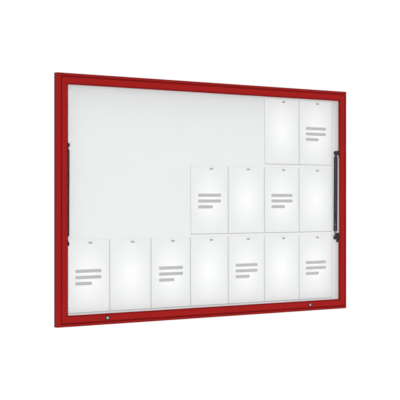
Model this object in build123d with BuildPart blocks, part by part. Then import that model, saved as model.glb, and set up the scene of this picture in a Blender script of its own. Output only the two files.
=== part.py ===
from build123d import *
import os

os.makedirs("parts", exist_ok=True)

# Wall-hung notice board with a top-hinged glazed door on two gas struts.
# x runs along the wall, z is up, the wall is the plane y = 0 and the front faces -y.
# All sizes are in millimetres.

# Case extrusion: a hollow rim with a back flange for the panel and a rib for the seal
overall_width = 1600.0
overall_height = 1016.0
case_depth = 37.0
rim_width = 11.0
rim_wall = 2.0
rim_front_radius = 8.0
rim_back_radius = 6.0
rim_inner_radius = 0.8
back_flange_width = 25.0
back_flange_thickness = 2.0
seal_rib_width = 9.0
seal_rib_thickness = 2.0

# Door extrusion: a hollow box with a bevelled lip in front of the glass
door_gap = 6.0
door_recess = 0.5
door_face_width = 22.0
door_bevel_width = 7.0
door_bevel_drop = 3.0
door_lip_thickness = 2.0
door_frame_depth = 14.0
door_wall = 1.8
door_edge_radius = 1.0

# Corner cleats, pressed into the hollows of the mitred frames
cleat_leg = 60.0
cleat_width = 8.0
cleat_clearance = 0.2

# Glazing: a tape behind the lip, toughened glass, beads behind the glass
tape_thickness = 1.0
tape_inset = 1.0
glass_thickness = 4.0
glass_edge_clearance = 1.0
glass_corner_radius = 3.0
bead_clearance = 0.2
bead_inset = 1.0
bead_chamfer = 2.0
bead_strut_clearance = 12.0

# Weather seal on the case rib
seal_width = 5.0
seal_inset = 0.3
seal_height = 3.0
seal_clearance = 0.3
seal_radius = 1.2

# Back panel and its rivets
panel_thickness = 1.5
panel_clearance = 0.5
panel_rivet_radius = 2.0
panel_rivet_head_radius = 4.0
panel_rivet_head_height = 1.2
panel_rivet_inset = 9.0
panel_rivet_from_end = 300.0
panel_rivet_from_top = 178.0
panel_rivet_back_gap = 0.2
rivet_clearance = 0.05

# Wall fixing holes through the back flange and the panel
wall_hole_radius = 4.0
wall_hole_inset = 16.0
wall_hole_from_end = 150.0

# Drain holes through the bottom of the case
drain_radius = 2.5
drain_count = 3
drain_spacing = 500.0
drain_from_panel = 8.0

# Continuous hinge in the gap above the door
hinge_end_gap = 5.0
hinge_knuckle_count = 15
knuckle_end_gap = 0.5
knuckle_clearance = 0.3
hinge_leaf_thickness = 1.0
hinge_leaf_depth = 11.0
hinge_leaf_clearance = 0.5
hinge_pin_radius = 1.25
hinge_pin_clearance = 0.05
hinge_rivet_count = 8
hinge_rivet_end_gap = 70.0
hinge_rivet_radius = 1.6
hinge_rivet_head_radius = 2.75
hinge_rivet_head_height = 0.9
hinge_rivet_tail = 1.2
hinge_rivet_setback = 7.5

# Gas struts: tube on the door, rod on the case, ball joints at both ends
strut_door_drop = 274.0
strut_case_drop = 670.0
strut_side_inset = 8.0
strut_glass_clearance = 1.2
strut_panel_clearance = 0.95
tube_radius = 9.0
tube_wall = 1.5
rod_radius = 4.0
tube_start = 19.0
rod_showing = 14.0
end_plug_length = 8.0
end_plug_stud_radius = 3.0
end_plug_stud_length = 9.0
piston_length = 10.0
piston_gap = 3.0
piston_clearance = 0.1
rod_guide_length = 24.0
strut_fit_clearance = 0.05
socket_width = 14.0
socket_shank_radius = 5.5
socket_shank_length = 16.0
socket_edge = 1.2
rod_socket_depth = 7.0
ball_radius = 5.0
ball_clearance = 0.3
socket_mouth_radius = 4.5

# Ball studs, brackets and their screws
stud_radius = 3.0
stud_head_radius = 3.4
stud_head_height = 2.5
bracket_thickness = 2.5
bracket_half_height = 22.0
bracket_tab_half_height = 11.0
bracket_tab_margin = 7.0
bracket_tab_gap = 7.0
door_bracket_start = 4.5
case_bracket_start = 3.0
bracket_screw_spacing = 30.0
bracket_screw_radius = 2.0
bracket_screw_head_radius = 3.6
bracket_screw_head_height = 2.0
door_screw_inset = 11.0
case_screw_inset = 11.0
door_screw_tail = 1.5

# Cam locks in the bottom rail of the door
lock_from_side = 236.0
lock_bezel_radius = 10.0
lock_bezel_height = 1.5
lock_bezel_edge = 0.6
lock_barrel_radius = 6.0
lock_hole_clearance = 0.2
lock_nut_across_flats = 14.5
lock_nut_height = 2.8
lock_head_radius = 5.4
lock_head_height = 1.3
lock_head_edge = 0.4
lock_plug_radius = 3.6
lock_running_clearance = 0.05
key_slot_length = 6.4
key_slot_width = 1.3
key_slot_depth = 3.0
cam_thickness = 2.0
cam_width = 10.0
cam_reach = 15.0
cam_rib_clearance = 0.4
cam_barrel_clearance = 0.4
cam_square = 4.6
cam_screw_radius = 1.5
cam_screw_length = 8.0
cam_screw_head_radius = 3.2
cam_screw_head_height = 1.8

# Paper sheets under magnets on the panel: each row starts this many columns in
sheet_width = 210.0
sheet_height = 297.0
sheet_thickness = 0.25
sheet_column_gap = 1.0
sheet_row_gap = 12.0
sheet_shift = -4.0
sheet_row_starts = (0, 3, 5)
magnet_length = 18.0
magnet_width = 8.0
magnet_height = 3.5
magnet_edge = 0.8
magnet_drop = 13.0
magnet_shift = 10.0

# Edges of the pieces, measured inwards from the outer edge of the case
half_width = overall_width / 2
half_height = overall_height / 2
door_outer = rim_width + door_gap
door_face_end = door_outer + door_face_width
door_inner = door_face_end + door_bevel_width
glass_edge = door_face_end + glass_edge_clearance
panel_edge = rim_width + panel_clearance

# Depths from the wall, front to back
door_front = -case_depth + door_recess
door_back = door_front + door_frame_depth
lip_front = door_front + door_bevel_drop
lip_back = lip_front + door_lip_thickness
glass_front = lip_back + tape_thickness
glass_back = glass_front + glass_thickness
seal_rib_front = door_back + seal_clearance + seal_height
seal_rib_back = seal_rib_front + seal_rib_thickness
panel_back = -back_flange_thickness
panel_front = panel_back - panel_thickness
sheet_front = panel_front - sheet_thickness

# The hinge axis, in the middle of the gap above the door and just behind the rim's face
knuckle_radius = door_gap / 2 - knuckle_clearance
hinge_y = -case_depth + knuckle_radius + knuckle_clearance
hinge_z = half_height - rim_width - door_gap / 2
hinge_length = overall_width - 2 * (door_outer + hinge_end_gap)

# Section planes: local x runs inwards from the outer edge, local y is the depth
section_planes = {
    "top_rail": Plane(origin=(0, 0, half_height), x_dir=(0, 0, -1), z_dir=(1, 0, 0)),
    "bottom_rail": Plane(origin=(0, 0, -half_height), x_dir=(0, 0, 1), z_dir=(-1, 0, 0)),
    "left_stile": Plane(origin=(-half_width, 0, 0), x_dir=(1, 0, 0), z_dir=(0, 0, 1)),
    "right_stile": Plane(origin=(half_width, 0, 0), x_dir=(-1, 0, 0), z_dir=(0, 0, -1)),
}
half_lengths = {
    "top_rail": half_width,
    "bottom_rail": half_width,
    "left_stile": half_height,
    "right_stile": half_height,
}
low_corner = (Align.MIN, Align.MIN)
from_base = (Align.CENTER, Align.CENTER, Align.MIN)


def save(piece, node):
    """Label a finished piece and write it under its node's name."""
    piece.part.label = node
    export_step(piece.part, f"parts/{node}.step")


def at_depth(y):
    """The upright plane at this depth, facing the front, with local x and y along x and z."""
    return Plane.XZ.offset(-y)


def stile_section(sign, z):
    """The section plane of the left (-1) or right (+1) stile at height z."""
    return Plane(origin=(sign * half_width, 0, z), x_dir=(-sign, 0, 0), z_dir=(0, 0, -sign))


def cut_mitres(side):
    """Cut both ends of the rail being built at 45 degrees through the corners of the case."""
    section = section_planes[side]
    for way in (1, -1):
        run = section.z_dir * way
        corner = section.origin + run * half_lengths[side]
        split(bisect_by=Plane(origin=corner, z_dir=run + section.x_dir), keep=Keep.BOTTOM)


def cut_back_holes():
    """Cut every hole through the back flange and the panel in the piece being built."""
    for x, z, radius in back_holes:
        with Locations((x, 0, z)):
            Cylinder(radius, -2 * panel_front, rotation=(90, 0, 0), mode=Mode.SUBTRACT)


# Places of the fixings in the back flange
wall_hole_x = half_width - wall_hole_from_end
wall_hole_z = half_height - rim_width - wall_hole_inset
panel_rivet_x = half_width - panel_rivet_from_end
panel_rivet_z = half_height - panel_rivet_from_top
rivet_rail_z = half_height - rim_width - panel_rivet_inset
rivet_stile_x = half_width - rim_width - panel_rivet_inset
panel_rivet_places = [(x, sz * rivet_rail_z) for x in (-panel_rivet_x, 0, panel_rivet_x) for sz in (-1, 1)]
panel_rivet_places += [(sx * rivet_stile_x, sz * panel_rivet_z) for sx in (-1, 1) for sz in (-1, 1)]

# Ball centres of the struts: the upper one on the door, the lower one on the case
strut_x = half_width - door_inner - strut_side_inset
door_ball_y = glass_back + strut_glass_clearance + tube_radius
case_ball_y = sheet_front - strut_panel_clearance - tube_radius
door_ball_z = hinge_z - strut_door_drop
case_ball_z = hinge_z - strut_case_drop

# Places of the bracket screws, on the door's stiles and on the case's flange
door_screw_x = half_width - door_outer - door_screw_inset
case_screw_x = half_width - rim_width - case_screw_inset
case_screw_places = [
    (sx * case_screw_x, case_ball_z + sz * bracket_screw_spacing / 2) for sx in (-1, 1) for sz in (-1, 1)
]
door_screw_places = [
    (sx * door_screw_x, door_ball_z + sz * bracket_screw_spacing / 2) for sx in (-1, 1) for sz in (-1, 1)
]

# Every hole in the back flange and the panel, as x, z and radius
back_holes = [(sx * wall_hole_x, sz * wall_hole_z, wall_hole_radius) for sx in (-1, 1) for sz in (-1, 1)]
back_holes += [(x, z, panel_rivet_radius + rivet_clearance) for x, z in panel_rivet_places]
back_holes += [(x, z, bracket_screw_radius + rivet_clearance) for x, z in case_screw_places]

# Places of the hinge rivets along the top
hinge_rivet_y = hinge_y + hinge_rivet_setback
hinge_rivet_spacing = (hinge_length - 2 * hinge_rivet_end_gap) / (hinge_rivet_count - 1)
hinge_rivet_hole_radius = hinge_rivet_radius + rivet_clearance
case_leaf_z = half_height - rim_width
door_leaf_z = half_height - door_outer

# Places of the locks, in the middle of the bottom rail's face
lock_z = -half_height + door_outer + door_face_width / 2
lock_hole_radius = lock_barrel_radius + lock_hole_clearance
lock_x = half_width - lock_from_side

# Case rails and stiles
for side, section in section_planes.items():
    with BuildPart() as case_rail:
        with BuildSketch(section) as profile:
            with Locations((0, -case_depth)):
                Rectangle(rim_width, case_depth, align=low_corner)
            fillet(profile.vertices().group_by(Axis.X)[0].sort_by(Axis.Y)[0], rim_front_radius)
            fillet(profile.vertices().group_by(Axis.X)[0].sort_by(Axis.Y)[-1], rim_back_radius)
            offset(amount=-rim_wall, mode=Mode.SUBTRACT)
            fillet(profile.vertices().group_by(Axis.X)[-1].sort_by(Axis.Y)[0], rim_inner_radius)
            with Locations((rim_width, -back_flange_thickness)):
                Rectangle(back_flange_width, back_flange_thickness, align=low_corner)
            with Locations((rim_width, seal_rib_front)):
                Rectangle(seal_rib_width, seal_rib_thickness, align=low_corner)
        extrude(amount=half_lengths[side], both=True)
        cut_mitres(side)
        cut_back_holes()
        if side == "top_rail":
            with BuildSketch(Plane.XY.offset(case_leaf_z)):
                with Locations((0, hinge_rivet_y)):
                    with GridLocations(hinge_rivet_spacing, 0, hinge_rivet_count, 1):
                        Circle(hinge_rivet_hole_radius)
            extrude(amount=rim_wall, mode=Mode.SUBTRACT)
        if side == "bottom_rail":
            with BuildSketch(Plane.XY.offset(-half_height)):
                with Locations((0, panel_front - drain_from_panel)):
                    with GridLocations(drain_spacing, 0, drain_count, 1):
                        Circle(drain_radius)
            extrude(amount=rim_width, mode=Mode.SUBTRACT)
    save(case_rail, f"case_{side}")

# Corner cleats of the case, one solid in the hollow of each corner
case_cleat_thickness = rim_width - 2 * (rim_wall + cleat_clearance)
case_cleat_edge = rim_wall + cleat_clearance
with BuildPart() as case_cleats:
    with BuildSketch(at_depth((cleat_width - case_depth) / 2)):
        for sx in (-1, 1):
            for sz in (-1, 1):
                corner_x = sx * (half_width - case_cleat_edge)
                corner_z = sz * (half_height - case_cleat_edge)
                with Locations((corner_x - sx * cleat_leg / 2, corner_z - sz * case_cleat_thickness / 2)):
                    Rectangle(cleat_leg, case_cleat_thickness)
                with Locations((corner_x - sx * case_cleat_thickness / 2, corner_z - sz * cleat_leg / 2)):
                    Rectangle(case_cleat_thickness, cleat_leg)
    extrude(amount=cleat_width)
save(case_cleats, "case_corner_cleats")

# Back panel: white lacquered steel sheet on the back flange
with BuildPart() as back_panel:
    with BuildSketch(at_depth(panel_back)):
        Rectangle(overall_width - 2 * panel_edge, overall_height - 2 * panel_edge)
    extrude(amount=panel_thickness)
    cut_back_holes()
save(back_panel, "back_panel")

# Rivets that hold the panel to the flange, set flush at the wall
with BuildPart() as panel_rivets:
    with BuildSketch(at_depth(-panel_rivet_back_gap)):
        with Locations(*panel_rivet_places):
            Circle(panel_rivet_radius)
    extrude(amount=-panel_front - panel_rivet_back_gap)
    with BuildSketch(at_depth(panel_front)):
        with Locations(*panel_rivet_places):
            Circle(panel_rivet_head_radius)
    extrude(amount=panel_rivet_head_height)
save(panel_rivets, "panel_rivets")

# Weather seal: one rubber ring on the rib, rounded where the door meets it
seal_outer = rim_width + seal_rib_width - seal_inset - seal_width
seal_inner = seal_outer + seal_width
with BuildPart() as door_seal:
    with BuildSketch(at_depth(seal_rib_front)):
        Rectangle(overall_width - 2 * seal_outer, overall_height - 2 * seal_outer)
        Rectangle(overall_width - 2 * seal_inner, overall_height - 2 * seal_inner, mode=Mode.SUBTRACT)
    extrude(amount=seal_height)
    fillet(door_seal.faces().sort_by(Axis.Y)[0].edges(), seal_radius)
save(door_seal, "door_seal")

# Door rails and stiles
for side, section in section_planes.items():
    with BuildPart() as door_rail:
        with BuildSketch(section) as profile:
            with BuildLine():
                Polyline(
                    (door_outer, door_front),
                    (door_face_end, door_front),
                    (door_inner, lip_front),
                    (door_inner, lip_back),
                    (door_face_end, lip_back),
                    (door_face_end, door_back),
                    (door_outer, door_back),
                    close=True,
                )
            make_face()
            fillet(profile.vertices().group_by(Axis.X)[0], door_edge_radius)
            with Locations((door_outer + door_wall, door_front + door_wall)):
                Rectangle(
                    door_face_width - 2 * door_wall,
                    door_frame_depth - 2 * door_wall,
                    align=low_corner,
                    mode=Mode.SUBTRACT,
                )
        extrude(amount=half_lengths[side], both=True)
        cut_mitres(side)
        if side == "top_rail":
            with BuildSketch(Plane.XY.offset(door_leaf_z)):
                with Locations((0, hinge_rivet_y)):
                    with GridLocations(hinge_rivet_spacing, 0, hinge_rivet_count, 1):
                        Circle(hinge_rivet_hole_radius)
            extrude(amount=-door_wall, mode=Mode.SUBTRACT)
        elif side == "bottom_rail":
            with BuildSketch(at_depth(door_back)):
                with Locations((-lock_x, lock_z), (lock_x, lock_z)):
                    Circle(lock_hole_radius)
            extrude(amount=door_frame_depth, mode=Mode.SUBTRACT)
        else:
            with BuildSketch(at_depth(door_back)):
                with Locations(*door_screw_places):
                    Circle(bracket_screw_radius + rivet_clearance)
            extrude(amount=door_wall, mode=Mode.SUBTRACT)
    save(door_rail, f"door_{side}")

# Corner cleats of the door, lying against the back wall of the hollow
door_cleat_edge = door_outer + door_wall + cleat_clearance
door_cleat_thickness = door_face_width - 2 * (door_wall + cleat_clearance)
with BuildPart() as door_cleats:
    with BuildSketch(at_depth(door_back - door_wall - cleat_clearance)):
        for sx in (-1, 1):
            for sz in (-1, 1):
                corner_x = sx * (half_width - door_cleat_edge)
                corner_z = sz * (half_height - door_cleat_edge)
                with Locations((corner_x - sx * cleat_leg / 2, corner_z - sz * door_cleat_thickness / 2)):
                    Rectangle(cleat_leg, door_cleat_thickness)
                with Locations((corner_x - sx * door_cleat_thickness / 2, corner_z - sz * cleat_leg / 2)):
                    Rectangle(door_cleat_thickness, cleat_leg)
    extrude(amount=cleat_width)
save(door_cleats, "door_corner_cleats")

# Glazing tape: one ring of foam tape between the lip and the glass, just inside the lip's edge
tape_inner = door_inner - tape_inset
with BuildPart() as glazing_tape:
    with BuildSketch(at_depth(glass_front)):
        Rectangle(overall_width - 2 * glass_edge, overall_height - 2 * glass_edge)
        Rectangle(overall_width - 2 * tape_inner, overall_height - 2 * tape_inner, mode=Mode.SUBTRACT)
    extrude(amount=tape_thickness)
save(glazing_tape, "glazing_tape")

# Toughened glass
with BuildPart() as door_glass:
    with BuildSketch(at_depth(glass_back)):
        RectangleRounded(
            overall_width - 2 * glass_edge,
            overall_height - 2 * glass_edge,
            glass_corner_radius,
        )
    extrude(amount=glass_thickness)
save(door_glass, "door_glass")

# Glazing beads behind the glass: full length above and below, open beside the struts
bead_inner = door_inner - bead_inset
bead_front = glass_back + bead_clearance
bead_width = bead_inner - door_face_end
bead_depth = door_back - bead_front
stile_bead_end = half_height - bead_inner - bead_clearance
stile_bead_spans = (
    (door_ball_z + tube_radius + bead_strut_clearance, stile_bead_end),
    (-stile_bead_end, case_ball_z - tube_radius - bead_strut_clearance),
)
with BuildPart() as glazing_beads:
    for side in ("top_rail", "bottom_rail"):
        with BuildSketch(section_planes[side]) as profile:
            with Locations((door_face_end, bead_front)):
                Rectangle(bead_width, bead_depth, align=low_corner)
            chamfer(profile.vertices().group_by(Axis.X)[-1].sort_by(Axis.Y)[-1], bead_chamfer)
        extrude(amount=half_width - door_face_end, both=True)
    for sign in (-1, 1):
        for low, high in stile_bead_spans:
            with BuildSketch(stile_section(sign, (low + high) / 2)) as profile:
                with Locations((door_face_end, bead_front)):
                    Rectangle(bead_width, bead_depth, align=low_corner)
                chamfer(profile.vertices().group_by(Axis.X)[-1].sort_by(Axis.Y)[-1], bead_chamfer)
            extrude(amount=(high - low) / 2, both=True)
save(glazing_beads, "glazing_beads")

# Continuous hinge: each leaf has every other knuckle
knuckle_pitch = hinge_length / hinge_knuckle_count
leaf_start = hinge_y + knuckle_radius + hinge_leaf_clearance
leaf_end = hinge_y + hinge_leaf_depth
for name, first, leaf_low in (
    ("hinge_case_leaf", 0, case_leaf_z - hinge_leaf_thickness),
    ("hinge_door_leaf", 1, door_leaf_z),
):
    with BuildPart() as hinge_leaf:
        with BuildSketch(Plane.YZ):
            with Locations((leaf_start, leaf_low)):
                Rectangle(leaf_end - leaf_start, hinge_leaf_thickness, align=low_corner)
        extrude(amount=hinge_length / 2, both=True)
        for knuckle in range(first, hinge_knuckle_count, 2):
            knuckle_x = -hinge_length / 2 + knuckle * knuckle_pitch + knuckle_end_gap / 2
            with BuildSketch(Plane.YZ.offset(knuckle_x)):
                with Locations((hinge_y, leaf_low)):
                    Rectangle(leaf_start - hinge_y, hinge_leaf_thickness, align=low_corner)
                with Locations((hinge_y, hinge_z)):
                    Circle(knuckle_radius)
                    Circle(hinge_pin_radius + hinge_pin_clearance, mode=Mode.SUBTRACT)
            extrude(amount=knuckle_pitch - knuckle_end_gap)
        with BuildSketch(Plane.XY.offset(leaf_low)):
            with Locations((0, hinge_rivet_y)):
                with GridLocations(hinge_rivet_spacing, 0, hinge_rivet_count, 1):
                    Circle(hinge_rivet_hole_radius)
        extrude(amount=hinge_leaf_thickness, mode=Mode.SUBTRACT)
    save(hinge_leaf, name)

# Hinge pin
with BuildPart() as hinge_pin:
    with BuildSketch(Plane.YZ):
        with Locations((hinge_y, hinge_z)):
            Circle(hinge_pin_radius)
    extrude(amount=hinge_length / 2, both=True)
save(hinge_pin, "hinge_pin")

# Hinge rivets: flat heads in the gap, shanks through the leaf and the wall behind it
for name, head_z, into_wall, wall in (
    ("hinge_case_rivets", case_leaf_z - hinge_leaf_thickness, 1, rim_wall),
    ("hinge_door_rivets", door_leaf_z + hinge_leaf_thickness, -1, door_wall),
):
    with BuildPart() as hinge_rivets:
        for radius, length in (
            (hinge_rivet_head_radius, -into_wall * hinge_rivet_head_height),
            (hinge_rivet_radius, into_wall * (hinge_leaf_thickness + wall + hinge_rivet_tail)),
        ):
            with BuildSketch(Plane.XY.offset(head_z)):
                with Locations((0, hinge_rivet_y)):
                    with GridLocations(hinge_rivet_spacing, 0, hinge_rivet_count, 1):
                        Circle(radius)
            extrude(amount=length)
    save(hinge_rivets, name)

# Gas struts, their sockets, brackets and ball studs, left and right
case_bracket_front = panel_front - bracket_thickness
door_bracket_back = door_back + bracket_thickness
tab_inner = door_inner + strut_side_inset - socket_width / 2 - bracket_tab_gap
tab_outer = tab_inner - bracket_thickness
stud_end = socket_width / 2 + bracket_tab_gap + bracket_thickness
cup_radius = ball_radius + ball_clearance
cup_mouth = (cup_radius**2 - socket_mouth_radius**2) ** 0.5
for hand, sign in (("left", -1), ("right", 1)):
    door_ball = Vector(sign * strut_x, door_ball_y, door_ball_z)
    case_ball = Vector(sign * strut_x, case_ball_y, case_ball_z)
    strut_length = (case_ball - door_ball).length
    strut_axis = Plane(origin=door_ball, x_dir=(1, 0, 0), z_dir=case_ball - door_ball)
    rod_axis = Plane(origin=case_ball, x_dir=(1, 0, 0), z_dir=door_ball - case_ball)
    tube_end = strut_length - socket_shank_length - rod_showing
    bore_radius = tube_radius - tube_wall
    piston_start = tube_start + end_plug_length + piston_gap

    # Steel tube
    with BuildPart() as tube:
        with BuildSketch(strut_axis.offset(tube_start)):
            Circle(tube_radius)
            Circle(bore_radius, mode=Mode.SUBTRACT)
        extrude(amount=tube_end - tube_start)
    save(tube, f"strut_{hand}_tube")

    # Plug that closes the tube, with the stud for the upper socket
    with BuildPart() as end_plug:
        with BuildSketch(strut_axis.offset(tube_start)):
            Circle(bore_radius - strut_fit_clearance)
        extrude(amount=end_plug_length)
        with BuildSketch(strut_axis.offset(tube_start)):
            Circle(end_plug_stud_radius)
        extrude(amount=-end_plug_stud_length)
    save(end_plug, f"strut_{hand}_end_plug")

    # Guide and seal that the rod runs through
    with BuildPart() as rod_guide:
        with BuildSketch(strut_axis.offset(tube_end)):
            Circle(bore_radius - strut_fit_clearance)
            Circle(rod_radius + strut_fit_clearance, mode=Mode.SUBTRACT)
        extrude(amount=-rod_guide_length)
    save(rod_guide, f"strut_{hand}_rod_guide")

    # Rod, from the piston to the lower socket
    with BuildPart() as rod:
        with BuildSketch(strut_axis.offset(piston_start)):
            Circle(rod_radius)
        extrude(amount=strut_length - socket_shank_length + rod_socket_depth - piston_start)
    save(rod, f"strut_{hand}_rod")

    # Piston on the end of the rod
    with BuildPart() as piston:
        with BuildSketch(strut_axis.offset(piston_start)):
            Circle(bore_radius - piston_clearance)
            Circle(rod_radius + strut_fit_clearance, mode=Mode.SUBTRACT)
        extrude(amount=piston_length)
    save(piston, f"strut_{hand}_piston")

    # Ball sockets: a drum round the ball, open towards the stud, on a shank along the strut
    for name, plane, shank_length, hole_radius, hole_depth in (
        ("upper", strut_axis, tube_start, end_plug_stud_radius, end_plug_stud_length),
        ("lower", rod_axis, socket_shank_length, rod_radius, rod_socket_depth),
    ):
        with BuildPart(plane) as socket:
            Cylinder(tube_radius, socket_width, rotation=(0, 90, 0))
            chamfer(socket.edges().filter_by(GeomType.CIRCLE), socket_edge)
            Cylinder(socket_shank_radius, shank_length, align=from_base)
            with BuildSketch(Plane(origin=plane.origin, x_dir=(sign, 0, 0), z_dir=(0, 0, 1))):
                with BuildLine():
                    ThreePointArc((-cup_radius, 0), (0, cup_radius), (cup_mouth, socket_mouth_radius))
                    Polyline(
                        (cup_mouth, socket_mouth_radius),
                        (socket_width / 2, socket_mouth_radius),
                        (socket_width / 2, 0),
                        (-cup_radius, 0),
                    )
                make_face()
            revolve(axis=Axis(plane.origin, (sign, 0, 0)), mode=Mode.SUBTRACT)
            with BuildSketch(plane.offset(shank_length)):
                Circle(hole_radius + strut_fit_clearance)
            extrude(amount=-hole_depth, mode=Mode.SUBTRACT)
        save(socket, f"strut_{hand}_{name}_socket")

    # Brackets bent from steel plate: a foot under two screws and a tab that carries the ball stud
    for name, ball, foot, foot_low, tab_low, tab_high, screw_x in (
        (
            "door",
            door_ball,
            door_outer + door_bracket_start,
            door_back,
            door_back,
            door_ball_y + bracket_tab_margin,
            door_screw_x,
        ),
        (
            "case",
            case_ball,
            rim_width + case_bracket_start,
            case_bracket_front,
            case_ball_y - bracket_tab_margin,
            panel_front,
            case_screw_x,
        ),
    ):
        section = stile_section(sign, ball.Z)
        with BuildPart() as bracket:
            with BuildSketch(section):
                with Locations((foot, foot_low)):
                    Rectangle(tab_inner - foot, bracket_thickness, align=low_corner)
            extrude(amount=bracket_half_height, both=True)
            with BuildSketch(section):
                with Locations((tab_outer, tab_low)):
                    Rectangle(bracket_thickness, tab_high - tab_low, align=low_corner)
            extrude(amount=bracket_tab_half_height, both=True)
            with BuildSketch(at_depth(foot_low)):
                with Locations((sign * screw_x, ball.Z)):
                    with GridLocations(0, bracket_screw_spacing, 1, 2):
                        Circle(bracket_screw_radius + rivet_clearance)
            extrude(amount=-bracket_thickness, mode=Mode.SUBTRACT)
            with BuildSketch(Plane(origin=ball, x_dir=(0, 1, 0), z_dir=(sign, 0, 0))):
                Circle(stud_radius + rivet_clearance)
            extrude(amount=stud_end, mode=Mode.SUBTRACT)
        save(bracket, f"strut_{hand}_{name}_bracket")

# Ball studs: the ball, a neck to the tab, and a peened end behind it
ball_end = (ball_radius**2 - stud_radius**2) ** 0.5
for name, ball_y, ball_z in (("door", door_ball_y, door_ball_z), ("case", case_ball_y, case_ball_z)):
    with BuildPart() as ball_studs:
        for sign in (-1, 1):
            ball = (sign * strut_x, ball_y, ball_z)
            with BuildSketch(Plane(origin=ball, x_dir=(sign, 0, 0), z_dir=(0, 0, 1))):
                with BuildLine():
                    ThreePointArc((-ball_radius, 0), (0, ball_radius), (ball_end, stud_radius))
                    Polyline(
                        (ball_end, stud_radius),
                        (stud_end, stud_radius),
                        (stud_end, stud_head_radius),
                        (stud_end + stud_head_height, stud_head_radius),
                        (stud_end + stud_head_height, 0),
                        (-ball_radius, 0),
                    )
                make_face()
            revolve(axis=Axis(ball, (sign, 0, 0)))
    save(ball_studs, f"{name}_ball_studs")

# Bracket screws
for name, places, head_y, into, length in (
    ("door", door_screw_places, door_bracket_back, 1, bracket_thickness + door_wall + door_screw_tail),
    ("case", case_screw_places, case_bracket_front, -1, -case_bracket_front - panel_rivet_back_gap),
):
    with BuildPart() as bracket_screws:
        with BuildSketch(at_depth(head_y)):
            with Locations(*places):
                Circle(bracket_screw_head_radius)
        extrude(amount=-into * bracket_screw_head_height)
        with BuildSketch(at_depth(head_y)):
            with Locations(*places):
                Circle(bracket_screw_radius)
        extrude(amount=into * length)
    save(bracket_screws, f"{name}_bracket_screws")

# Cam locks, left and right, shown unlocked with the cams lying along the rail
bezel_front = door_front - lock_bezel_height
cam_front = seal_rib_back + cam_rib_clearance
cam_back = cam_front + cam_thickness
barrel_end = cam_front - cam_barrel_clearance
head_back = bezel_front + lock_head_height
for hand, sign in (("left", -1), ("right", 1)):
    place = (sign * lock_x, lock_z)

    # Housing: a bezel on the face of the rail and a barrel through it
    with BuildPart() as housing:
        with BuildSketch(at_depth(door_front)):
            with Locations(place):
                Circle(lock_bezel_radius)
        extrude(amount=lock_bezel_height)
        fillet(housing.faces().sort_by(Axis.Y)[0].edges(), lock_bezel_edge)
        with BuildSketch(at_depth(barrel_end)):
            with Locations(place):
                Circle(lock_barrel_radius)
        extrude(amount=barrel_end - door_front)
        with BuildSketch(at_depth(barrel_end)):
            with Locations(place):
                Circle(lock_plug_radius + lock_running_clearance)
        extrude(amount=barrel_end - bezel_front, mode=Mode.SUBTRACT)
        with BuildSketch(at_depth(head_back + lock_running_clearance)):
            with Locations(place):
                Circle(lock_head_radius + lock_running_clearance)
        extrude(amount=lock_head_height + lock_running_clearance, mode=Mode.SUBTRACT)
    save(housing, f"lock_{hand}_housing")

    # Plug with the key slot, turning in the barrel, with a square end for the cam
    with BuildPart() as plug:
        with BuildSketch(at_depth(head_back)):
            with Locations(place):
                Circle(lock_head_radius)
        extrude(amount=lock_head_height)
        fillet(plug.faces().sort_by(Axis.Y)[0].edges(), lock_head_edge)
        with BuildSketch(at_depth(cam_front)):
            with Locations(place):
                Circle(lock_plug_radius)
        extrude(amount=cam_front - head_back)
        with BuildSketch(at_depth(cam_back)):
            with Locations(place):
                Rectangle(cam_square, cam_square)
        extrude(amount=cam_thickness)
        with BuildSketch(at_depth(bezel_front + key_slot_depth)):
            with Locations(place):
                Rectangle(key_slot_width, key_slot_length)
        extrude(amount=key_slot_depth, mode=Mode.SUBTRACT)
        with BuildSketch(at_depth(cam_back)):
            with Locations(place):
                Circle(cam_screw_radius + rivet_clearance)
        extrude(amount=cam_screw_length, mode=Mode.SUBTRACT)
    save(plug, f"lock_{hand}_plug")

    # Cam: a flat steel finger with rounded ends
    with BuildPart() as cam:
        with BuildSketch(at_depth(cam_back)):
            with Locations(place):
                Circle(cam_width / 2)
            tip = (place[0] - sign * (cam_reach - cam_width / 2), lock_z)
            with Locations(tip):
                Circle(cam_width / 2)
            with Locations(((place[0] + tip[0]) / 2, lock_z)):
                Rectangle(cam_reach - cam_width / 2, cam_width)
            with Locations(place):
                Rectangle(
                    cam_square + 2 * rivet_clearance,
                    cam_square + 2 * rivet_clearance,
                    mode=Mode.SUBTRACT,
                )
        extrude(amount=cam_thickness)
    save(cam, f"lock_{hand}_cam")

    # Screw that holds the cam on the plug
    with BuildPart() as cam_screw:
        with BuildSketch(at_depth(cam_back)):
            with Locations(place):
                Circle(cam_screw_head_radius)
        extrude(amount=-cam_screw_head_height)
        with BuildSketch(at_depth(cam_back)):
            with Locations(place):
                Circle(cam_screw_radius)
        extrude(amount=cam_screw_length)
    save(cam_screw, f"lock_{hand}_cam_screw")

# Lock nuts behind the rail, with flats above and below
with BuildPart() as lock_nuts:
    with BuildSketch(at_depth(door_back + lock_nut_height)):
        with Locations((-lock_x, lock_z), (lock_x, lock_z)):
            RegularPolygon(lock_nut_across_flats / 2, 6, major_radius=False)
            Circle(lock_barrel_radius + lock_running_clearance, mode=Mode.SUBTRACT)
    extrude(amount=lock_nut_height)
save(lock_nuts, "lock_nuts")

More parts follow.
